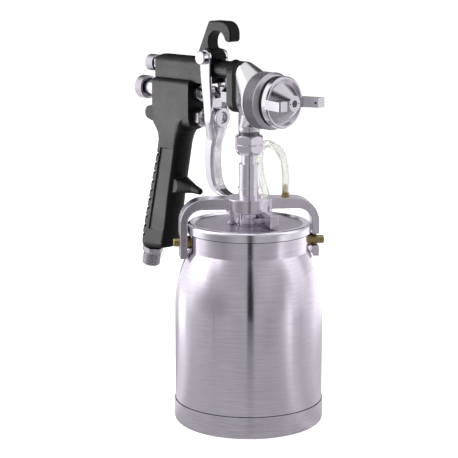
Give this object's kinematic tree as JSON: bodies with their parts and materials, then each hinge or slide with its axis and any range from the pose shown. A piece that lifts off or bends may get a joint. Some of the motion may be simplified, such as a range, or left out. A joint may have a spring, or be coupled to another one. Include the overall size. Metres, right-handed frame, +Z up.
{
  "type": "siphon-feed spray gun with quart cup",
  "caption": "Siphon-feed hvlp paint spray gun with a hanging hook, a sprung trigger, a two-horn air cap and a cup held under a swinging yoke clamp.",
  "frame": {"origin": "centre of the cup's foot, on the surface it stands on", "axes": "+X is the way the gun sprays, +Z is up, +Y is to the left of a person who holds it"},
  "size_m": [0.1606, 0.1032, 0.2751],
  "materials": {
    "black_casting": "satin black coating on cast alloy",
    "black_rubber": "matte",
    "polished_alloy": "polished",
    "satin_alloy": "satin, lightly blasted",
    "trigger_alloy": "polished casting",
    "spun_alloy": "spun and brushed",
    "lid_alloy": "fine matte top, polished rim",
    "yoke_alloy": "polished casting",
    "bright_plate": "bright nickel plate",
    "steel": "turned",
    "brass": "dull turned brass",
    "white_seal": "matte",
    "clear_tube": "milky clear soft tube"
  },
  "bodies": {
    "gun": {"gun_body": "black_casting", "head_gasket": "black_rubber", "head": "polished_alloy", "fluid_nozzle": "steel", "nozzle_seal": "black_rubber", "needle_packing": "white_seal", "packing_nut": "steel", "needle_bushing": "steel", "pivot_screw": "bright_plate", "pivot_stud": "bright_plate", "air_valve_nut": "steel", "air_valve_seat": "black_rubber", "air_valve_spring": "steel", "needle_spring": "steel", "fluid_bushing": "bright_plate", "fan_bushing": "bright_plate", "inlet_nipple": "steel", "stem": "bright_plate", "siphon_tube": "satin_alloy", "lid": "lid_alloy", "lid_gasket": "white_seal", "guide_post": "bright_plate", "lid_barb": "brass", "vent_tube": "clear_tube"},
    "trigger": {"trigger": "trigger_alloy"},
    "needle": {"needle": "steel"},
    "air_valve": {"air_valve_stem": "steel"},
    "spring_pad": {"spring_pad": "steel"},
    "fluid_knob": {"fluid_knob": "bright_plate"},
    "fan_poppet": {"fan_poppet": "steel"},
    "fan_knob": {"fan_knob": "bright_plate"},
    "cap_carrier": {"cap_clip": "steel", "cap_washer": "black_rubber"},
    "air_cap": {"air_cap": "polished_alloy"},
    "retaining_ring": {"retaining_ring": "satin_alloy"},
    "union_nut": {"union_nut": "bright_plate"},
    "cam_lever": {"cam_lever": "bright_plate"},
    "yoke": {"yoke": "yoke_alloy", "yoke_barb": "brass"},
    "cup": {"cup_body": "spun_alloy", "cup_base": "satin_alloy", "cup_pins": "brass"}
  },
  "joints": [
    {"name": "trigger_pull", "type": "hinge", "parent": "gun", "child": "trigger", "pos_m": [-0.0347, 0, 0.25], "axis": [0, 1, 0], "range_deg": [0, 7], "stiffness_Nm_per_rad": 0.5, "springref_deg": -11.46},
    {"name": "needle_travel", "type": "slide", "parent": "gun", "child": "needle", "axis": [-1, 0, 0], "range_m": [0, 0.0038], "deforming": ["needle_spring"]},
    {"name": "air_valve_travel", "type": "slide", "parent": "gun", "child": "air_valve", "axis": [-1, 0, 0], "range_m": [0, 0.0054], "deforming": ["air_valve_spring"]},
    {"name": "fluid_feed", "type": "slide", "parent": "gun", "child": "spring_pad", "axis": [1, 0, 0], "range_m": [-0.0021, 0.0021], "deforming": ["needle_spring"]},
    {"name": "fluid_turn", "type": "hinge", "parent": "spring_pad", "child": "fluid_knob", "pos_m": [-0.1, 0, 0.2242], "axis": [1, 0, 0], "range_deg": [-720, 720]},
    {"name": "fan_feed", "type": "slide", "parent": "gun", "child": "fan_poppet", "axis": [1, 0, 0], "range_m": [-0.0025, 0]},
    {"name": "fan_turn", "type": "hinge", "parent": "fan_poppet", "child": "fan_knob", "pos_m": [-0.095, 0, 0.2423], "axis": [1, 0, 0], "range_deg": [-1080, 0]},
    {"name": "cap_advance", "type": "slide", "parent": "gun", "child": "cap_carrier", "axis": [1, 0, 0], "range_m": [0, 0.0046]},
    {"name": "ring_turn", "type": "hinge", "parent": "cap_carrier", "child": "retaining_ring", "pos_m": [0.02, 0, 0.2242], "axis": [1, 0, 0], "range_deg": [0, 1080]},
    {"name": "cap_turn", "type": "hinge", "parent": "cap_carrier", "child": "air_cap", "pos_m": [0.03, 0, 0.2242], "axis": [1, 0, 0], "range_deg": [-90, 90]},
    {"name": "nut_turn", "type": "hinge", "parent": "gun", "child": "union_nut", "pos_m": [0, 0, 0.19], "axis": [0, 0, 1], "continuous": true},
    {"name": "lever_turn", "type": "hinge", "parent": "gun", "child": "cam_lever", "pos_m": [0, 0, 0.142], "axis": [0, 0, 1], "range_deg": [-80, 0]},
    {"name": "yoke_lift", "type": "slide", "parent": "gun", "child": "yoke", "axis": [0, 0, 1], "range_m": [-0.0013, 0]},
    {"name": "cup_twist", "type": "hinge", "parent": "gun", "child": "cup", "pos_m": [0, 0, 0.126], "axis": [0, 0, 1], "range_deg": [-30, 0]}
  ],
  "couplings": [
    {"joint": "needle_travel", "follows": "trigger_pull", "m_per_rad": 0.03},
    {"joint": "air_valve_travel", "follows": "trigger_pull", "m_per_rad": 0.043},
    {"joint": "fluid_feed", "follows": "fluid_turn", "m_per_rad": 0.00015915},
    {"joint": "fan_feed", "follows": "fan_turn", "m_per_rad": 0.00012732},
    {"joint": "cap_advance", "follows": "ring_turn", "m_per_rad": 0.00023873},
    {"joint": "yoke_lift", "follows": "lever_turn", "m_per_rad": 0.00092}
  ]
}
